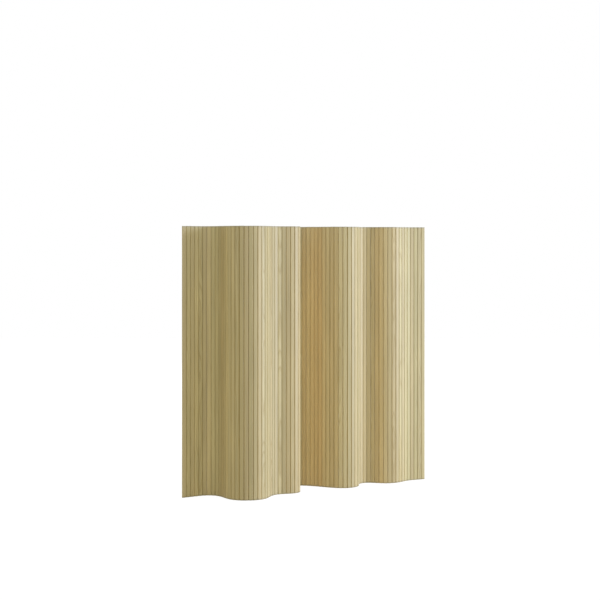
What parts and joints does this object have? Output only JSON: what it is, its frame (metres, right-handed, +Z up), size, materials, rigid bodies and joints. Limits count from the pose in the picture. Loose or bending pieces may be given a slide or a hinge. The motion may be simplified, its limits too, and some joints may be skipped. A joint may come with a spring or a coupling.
{
  "type": "flexible slat screen",
  "caption": "Free-standing room divider of upright pine slats threaded on level steel wires, so that it bends at its gaps and stands in a wave.",
  "frame": {"origin": "floor level, under the middle of the standing screen's outline", "axes": "+X to the viewer's right along the screen, +Y away from the viewer, +Z up along the slats"},
  "size_m": [1.391, 0.6752, 1.5],
  "materials": {
    "pine": "sanded and oiled pine",
    "plug_wood": "end-grain dowel",
    "steel": "drawn wire"
  },
  "bodies": {
    "left_end": {"slats_01_03": "pine", "ferrules_left": "steel", "plugs_left": "plug_wood"},
    "slats_04_05": {"slats_04_05": "pine"},
    "slat_06": {"slat_06": "pine"},
    "slat_07": {"slat_07": "pine"},
    "slat_08": {"slat_08": "pine"},
    "slat_09": {"slat_09": "pine"},
    "slat_10": {"slat_10": "pine"},
    "slats_11_13": {"slats_11_13": "pine"},
    "slat_14": {"slat_14": "pine"},
    "slat_15": {"slat_15": "pine"},
    "slat_16": {"slat_16": "pine"},
    "slat_17": {"slat_17": "pine"},
    "slats_18_19": {"slats_18_19": "pine"},
    "slat_20": {"slat_20": "pine"},
    "slat_21": {"slat_21": "pine"},
    "slat_22": {"slat_22": "pine"},
    "slat_23": {"slat_23": "pine"},
    "slats_24_26": {"slats_24_26": "pine"},
    "slat_27": {"slat_27": "pine"},
    "slat_28": {"slat_28": "pine"},
    "slat_29": {"slat_29": "pine"},
    "slats_30_31": {"slats_30_31": "pine"},
    "slat_32": {"slat_32": "pine"},
    "slat_33": {"slat_33": "pine"},
    "slat_34": {"slat_34": "pine"},
    "slat_35": {"slat_35": "pine"},
    "slats_36_38": {"slats_36_38": "pine"},
    "slats_39_40": {"slats_39_40": "pine"},
    "slat_41": {"slat_41": "pine"},
    "slat_42": {"slat_42": "pine"},
    "slat_43": {"slat_43": "pine"},
    "slat_44": {"slat_44": "pine"},
    "slat_45": {"slat_45": "pine"},
    "slats_46_47": {"slats_46_47": "pine"},
    "centre_panel": {"slats_48_51": "pine", "wires": "steel"},
    "slats_52_53": {"slats_52_53": "pine"},
    "slat_54": {"slat_54": "pine"},
    "slat_55": {"slat_55": "pine"},
    "slat_56": {"slat_56": "pine"},
    "slat_57": {"slat_57": "pine"},
    "slat_58": {"slat_58": "pine"},
    "slat_59": {"slat_59": "pine"},
    "slats_60_61": {"slats_60_61": "pine"},
    "slat_62": {"slat_62": "pine"},
    "slat_63": {"slat_63": "pine"},
    "slat_64": {"slat_64": "pine"},
    "slat_65": {"slat_65": "pine"},
    "slats_66_68": {"slats_66_68": "pine"},
    "slat_69": {"slat_69": "pine"},
    "slat_70": {"slat_70": "pine"},
    "slat_71": {"slat_71": "pine"},
    "slat_72": {"slat_72": "pine"},
    "slats_73_75": {"slats_73_75": "pine"},
    "slat_76": {"slat_76": "pine"},
    "right_end": {"slats_77_80": "pine", "ferrules_right": "steel", "plugs_right": "plug_wood"}
  },
  "joints": [
    {"name": "hinge_03_04", "type": "hinge", "parent": "slats_04_05", "child": "left_end", "pos_m": [-0.63048, -0.21782, 0.75], "axis": [0, 0, -1], "range_deg": [-32, 32]},
    {"name": "hinge_05_06", "type": "hinge", "parent": "slat_06", "child": "slats_04_05", "pos_m": [-0.58762, -0.19207, 0.75], "axis": [0, 0, 1], "range_deg": [-48, 16]},
    {"name": "hinge_06_07", "type": "hinge", "parent": "slat_07", "child": "slat_06", "pos_m": [-0.56347, -0.1856, 0.75], "axis": [0, 0, -1], "range_deg": [-16, 48]},
    {"name": "hinge_07_08", "type": "hinge", "parent": "slat_08", "child": "slat_07", "pos_m": [-0.53848, -0.18603, 0.75], "axis": [0, 0, 1], "range_deg": [-48, 16]},
    {"name": "hinge_08_09", "type": "hinge", "parent": "slat_09", "child": "slat_08", "pos_m": [-0.51457, -0.19334, 0.75], "axis": [0, 0, -1], "range_deg": [-16, 48]},
    {"name": "hinge_09_10", "type": "hinge", "parent": "slat_10", "child": "slat_09", "pos_m": [-0.4936, -0.20696, 0.75], "axis": [0, 0, 1], "range_deg": [-48, 16]},
    {"name": "hinge_10_11", "type": "hinge", "parent": "slats_11_13", "child": "slat_10", "pos_m": [-0.4772, -0.22583, 0.75], "axis": [0, 0, -1], "range_deg": [-24, 40]},
    {"name": "hinge_13_14", "type": "hinge", "parent": "slat_14", "child": "slats_11_13", "pos_m": [-0.43635, -0.28873, 0.75], "axis": [0, 0, 1], "range_deg": [-20, 44]},
    {"name": "hinge_14_15", "type": "hinge", "parent": "slat_15", "child": "slat_14", "pos_m": [-0.41867, -0.3064, 0.75], "axis": [0, 0, -1], "range_deg": [-44, 20]},
    {"name": "hinge_15_16", "type": "hinge", "parent": "slat_16", "child": "slat_15", "pos_m": [-0.39771, -0.32002, 0.75], "axis": [0, 0, 1], "range_deg": [-20, 44]},
    {"name": "hinge_16_17", "type": "hinge", "parent": "slat_17", "child": "slat_16", "pos_m": [-0.37437, -0.32898, 0.75], "axis": [0, 0, -1], "range_deg": [-44, 20]},
    {"name": "hinge_17_18", "type": "hinge", "parent": "slats_18_19", "child": "slat_17", "pos_m": [-0.34968, -0.33289, 0.75], "axis": [0, 0, 1], "range_deg": [-17, 47]},
    {"name": "hinge_19_20", "type": "hinge", "parent": "slat_20", "child": "slats_18_19", "pos_m": [-0.29995, -0.32766, 0.75], "axis": [0, 0, -1], "range_deg": [-46, 18]},
    {"name": "hinge_20_21", "type": "hinge", "parent": "slat_21", "child": "slat_20", "pos_m": [-0.27646, -0.31911, 0.75], "axis": [0, 0, 1], "range_deg": [-18, 46]},
    {"name": "hinge_21_22", "type": "hinge", "parent": "slat_22", "child": "slat_21", "pos_m": [-0.25573, -0.30513, 0.75], "axis": [0, 0, -1], "range_deg": [-46, 18]},
    {"name": "hinge_22_23", "type": "hinge", "parent": "slat_23", "child": "slat_22", "pos_m": [-0.239, -0.28655, 0.75], "axis": [0, 0, 1], "range_deg": [-18, 46]},
    {"name": "hinge_23_24", "type": "hinge", "parent": "slats_24_26", "child": "slat_23", "pos_m": [-0.22726, -0.26448, 0.75], "axis": [0, 0, -1], "range_deg": [-41, 23]},
    {"name": "hinge_26_27", "type": "hinge", "parent": "slat_27", "child": "slats_24_26", "pos_m": [-0.20285, -0.19357, 0.75], "axis": [0, 0, 1], "range_deg": [-47, 17]},
    {"name": "hinge_27_28", "type": "hinge", "parent": "slat_28", "child": "slat_27", "pos_m": [-0.18887, -0.17284, 0.75], "axis": [0, 0, -1], "range_deg": [-17, 47]},
    {"name": "hinge_28_29", "type": "hinge", "parent": "slat_29", "child": "slat_28", "pos_m": [-0.17, -0.15644, 0.75], "axis": [0, 0, 1], "range_deg": [-47, 17]},
    {"name": "hinge_29_30", "type": "hinge", "parent": "slats_30_31", "child": "slat_29", "pos_m": [-0.14753, -0.14548, 0.75], "axis": [0, 0, -1], "range_deg": [-22, 42]},
    {"name": "hinge_31_32", "type": "hinge", "parent": "slat_32", "child": "slats_30_31", "pos_m": [-0.09947, -0.1317, 0.75], "axis": [0, 0, 1], "range_deg": [-24, 40]},
    {"name": "hinge_32_33", "type": "hinge", "parent": "slat_33", "child": "slat_32", "pos_m": [-0.07663, -0.12153, 0.75], "axis": [0, 0, -1], "range_deg": [-48, 16]},
    {"name": "hinge_33_34", "type": "hinge", "parent": "slat_34", "child": "slat_33", "pos_m": [-0.05748, -0.10546, 0.75], "axis": [0, 0, 1], "range_deg": [-5, 59]},
    {"name": "hinge_34_35", "type": "hinge", "parent": "slat_35", "child": "slat_34", "pos_m": [-0.04771, -0.08245, 0.75], "axis": [0, 0, -1], "range_deg": [-59, 5]},
    {"name": "hinge_35_36", "type": "hinge", "parent": "slats_36_38", "child": "slat_35", "pos_m": [-0.04945, -0.05751, 0.75], "axis": [0, 0, 1], "range_deg": [-8, 56]},
    {"name": "hinge_38_39", "type": "hinge", "parent": "slats_39_40", "child": "slats_36_38", "pos_m": [-0.08466, 0.00871, 0.75], "axis": [0, 0, -1], "range_deg": [-20, 44]},
    {"name": "hinge_40_41", "type": "hinge", "parent": "slat_41", "child": "slats_39_40", "pos_m": [-0.09845, 0.05678, 0.75], "axis": [0, 0, 1], "range_deg": [-57, 7]},
    {"name": "hinge_41_42", "type": "hinge", "parent": "slat_42", "child": "slat_41", "pos_m": [-0.09453, 0.08147, 0.75], "axis": [0, 0, -1], "range_deg": [-7, 57]},
    {"name": "hinge_42_43", "type": "hinge", "parent": "slat_43", "child": "slat_42", "pos_m": [-0.08056, 0.10219, 0.75], "axis": [0, 0, 1], "range_deg": [-57, 7]},
    {"name": "hinge_43_44", "type": "hinge", "parent": "slat_44", "child": "slat_43", "pos_m": [-0.05913, 0.11507, 0.75], "axis": [0, 0, -1], "range_deg": [-7, 57]},
    {"name": "hinge_44_45", "type": "hinge", "parent": "slat_45", "child": "slat_44", "pos_m": [-0.03426, 0.11768, 0.75], "axis": [0, 0, 1], "range_deg": [-47, 17]},
    {"name": "hinge_45_46", "type": "hinge", "parent": "slats_46_47", "child": "slat_45", "pos_m": [-0.00957, 0.11377, 0.75], "axis": [0, 0, -1], "range_deg": [-22, 42]},
    {"name": "hinge_47_48", "type": "hinge", "parent": "centre_panel", "child": "slats_46_47", "pos_m": [0.03771, 0.09749, 0.75], "axis": [0, 0, 1], "range_deg": [-39, 25], "deforming": ["wires"]},
    {"name": "hinge_51_52", "type": "hinge", "parent": "centre_panel", "child": "slats_52_53", "pos_m": [0.12759, 0.05366, 0.75], "axis": [0, 0, 1], "range_deg": [-39, 25]},
    {"name": "hinge_53_54", "type": "hinge", "parent": "slats_52_53", "child": "slat_54", "pos_m": [0.17486, 0.03738, 0.75], "axis": [0, 0, -1], "range_deg": [-18, 46]},
    {"name": "hinge_54_55", "type": "hinge", "parent": "slat_54", "child": "slat_55", "pos_m": [0.19977, 0.0352, 0.75], "axis": [0, 0, 1], "range_deg": [-46, 18]},
    {"name": "hinge_55_56", "type": "hinge", "parent": "slat_55", "child": "slat_56", "pos_m": [0.22446, 0.03911, 0.75], "axis": [0, 0, -1], "range_deg": [-18, 46]},
    {"name": "hinge_56_57", "type": "hinge", "parent": "slat_56", "child": "slat_57", "pos_m": [0.24747, 0.04888, 0.75], "axis": [0, 0, 1], "range_deg": [-46, 18]},
    {"name": "hinge_57_58", "type": "hinge", "parent": "slat_57", "child": "slat_58", "pos_m": [0.26744, 0.06392, 0.75], "axis": [0, 0, -1], "range_deg": [-15, 49]},
    {"name": "hinge_58_59", "type": "hinge", "parent": "slat_58", "child": "slat_59", "pos_m": [0.28213, 0.08415, 0.75], "axis": [0, 0, 1], "range_deg": [-49, 15]},
    {"name": "hinge_59_60", "type": "hinge", "parent": "slat_59", "child": "slats_60_61", "pos_m": [0.29027, 0.10779, 0.75], "axis": [0, 0, -1], "range_deg": [-16, 48]},
    {"name": "hinge_61_62", "type": "hinge", "parent": "slats_60_61", "child": "slat_62", "pos_m": [0.29289, 0.15772, 0.75], "axis": [0, 0, 1], "range_deg": [-11, 53]},
    {"name": "hinge_62_63", "type": "hinge", "parent": "slat_62", "child": "slat_63", "pos_m": [0.30306, 0.18056, 0.75], "axis": [0, 0, -1], "range_deg": [-53, 11]},
    {"name": "hinge_63_64", "type": "hinge", "parent": "slat_63", "child": "slat_64", "pos_m": [0.32073, 0.19823, 0.75], "axis": [0, 0, 1], "range_deg": [-11, 53]},
    {"name": "hinge_64_65", "type": "hinge", "parent": "slat_64", "child": "slat_65", "pos_m": [0.34357, 0.2084, 0.75], "axis": [0, 0, -1], "range_deg": [-53, 11]},
    {"name": "hinge_65_66", "type": "hinge", "parent": "slat_65", "child": "slats_66_68", "pos_m": [0.36854, 0.20971, 0.75], "axis": [0, 0, 1], "range_deg": [-15, 49]},
    {"name": "hinge_68_69", "type": "hinge", "parent": "slats_66_68", "child": "slat_69", "pos_m": [0.44131, 0.19157, 0.75], "axis": [0, 0, -1], "range_deg": [-19, 45]},
    {"name": "hinge_69_70", "type": "hinge", "parent": "slat_69", "child": "slat_70", "pos_m": [0.46631, 0.19113, 0.75], "axis": [0, 0, 1], "range_deg": [-45, 19]},
    {"name": "hinge_70_71", "type": "hinge", "parent": "slat_70", "child": "slat_71", "pos_m": [0.49076, 0.19633, 0.75], "axis": [0, 0, -1], "range_deg": [-19, 45]},
    {"name": "hinge_71_72", "type": "hinge", "parent": "slat_71", "child": "slat_72", "pos_m": [0.51342, 0.20689, 0.75], "axis": [0, 0, 1], "range_deg": [-45, 19]},
    {"name": "hinge_72_73", "type": "hinge", "parent": "slat_72", "child": "slats_73_75", "pos_m": [0.53312, 0.22229, 0.75], "axis": [0, 0, -1], "range_deg": [-23, 41]},
    {"name": "hinge_75_76", "type": "hinge", "parent": "slats_73_75", "child": "slat_76", "pos_m": [0.58427, 0.27714, 0.75], "axis": [0, 0, 1], "range_deg": [-21, 43]},
    {"name": "hinge_76_77", "type": "hinge", "parent": "slat_76", "child": "right_end", "pos_m": [0.60449, 0.29183, 0.75], "axis": [0, 0, -1], "range_deg": [-43, 21]}
  ]
}
